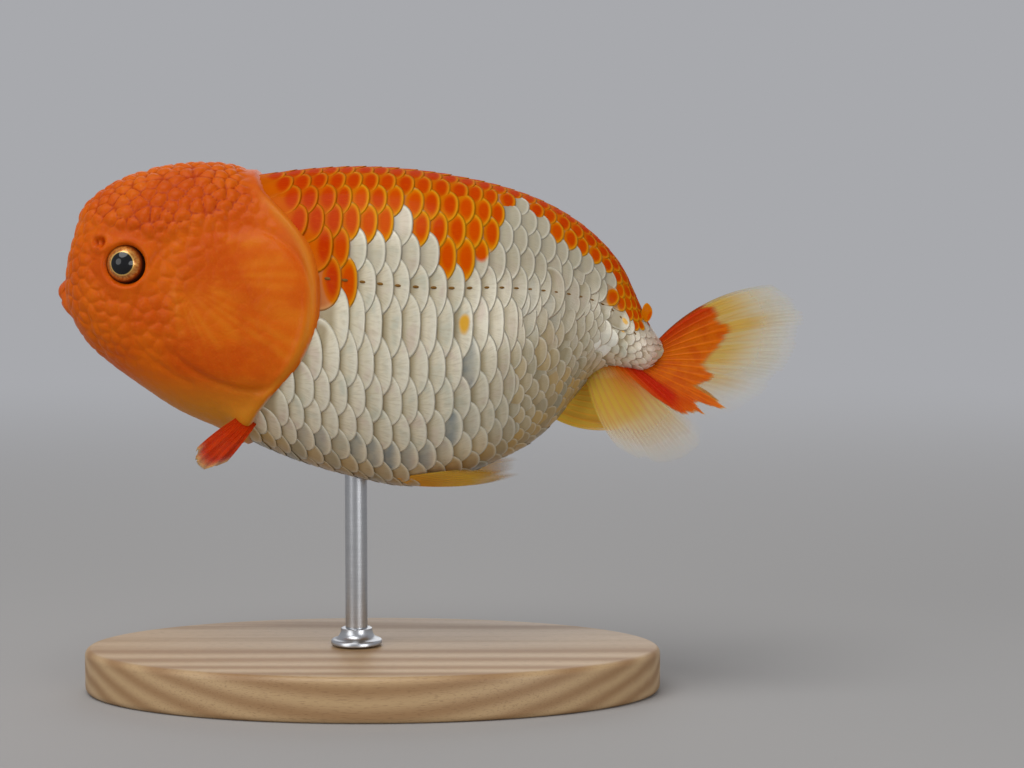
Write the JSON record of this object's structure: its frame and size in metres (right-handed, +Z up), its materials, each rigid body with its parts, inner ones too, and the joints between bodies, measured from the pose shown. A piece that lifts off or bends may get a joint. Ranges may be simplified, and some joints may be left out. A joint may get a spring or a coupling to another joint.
{
  "type": "goldfish",
  "caption": "Life-size twin-tailed goldfish with an arched finless back, orange and pearl scales and a lightly grown hood, held up on a plain display stand.",
  "frame": {"origin": "centre of the stand base's underside", "axes": "+X from the fish's snout to its tail, +Y to the fish's right side, +Z up"},
  "size_m": [0.1307, 0.06, 0.0949],
  "materials": {
    "head_skin": "moist orange skin, softly bumpy on the crown",
    "scales": "overlapping pearly scales, orange along the back",
    "eye": "clear wet cornea over a golden ring and a black pupil",
    "fin": "thin ribbed membrane, orange at the root and pale at the edge",
    "stand_wood": "pale wood, satin oil",
    "stand_steel": "fine brushed"
  },
  "bodies": {
    "root": {"head": "head_skin", "muzzle": "head_skin", "lower_jaw": "head_skin", "crown_growth": "head_skin", "gill_cover_left": "head_skin", "gill_cover_right": "head_skin", "trunk": "scales", "tail_stem": "scales", "eye_left": "eye", "eye_right": "eye", "tail_fin_upper_left": "fin", "tail_fin_upper_right": "fin", "tail_fin_lower_left": "fin", "tail_fin_lower_right": "fin", "anal_fin_left": "fin", "anal_fin_right": "fin", "pelvic_fin_left": "fin", "pelvic_fin_right": "fin", "pectoral_fin_left": "fin", "pectoral_fin_right": "fin", "stand_base": "stand_wood", "stand_rod": "stand_steel", "stand_collar": "stand_steel"}
  },
  "joints": []
}
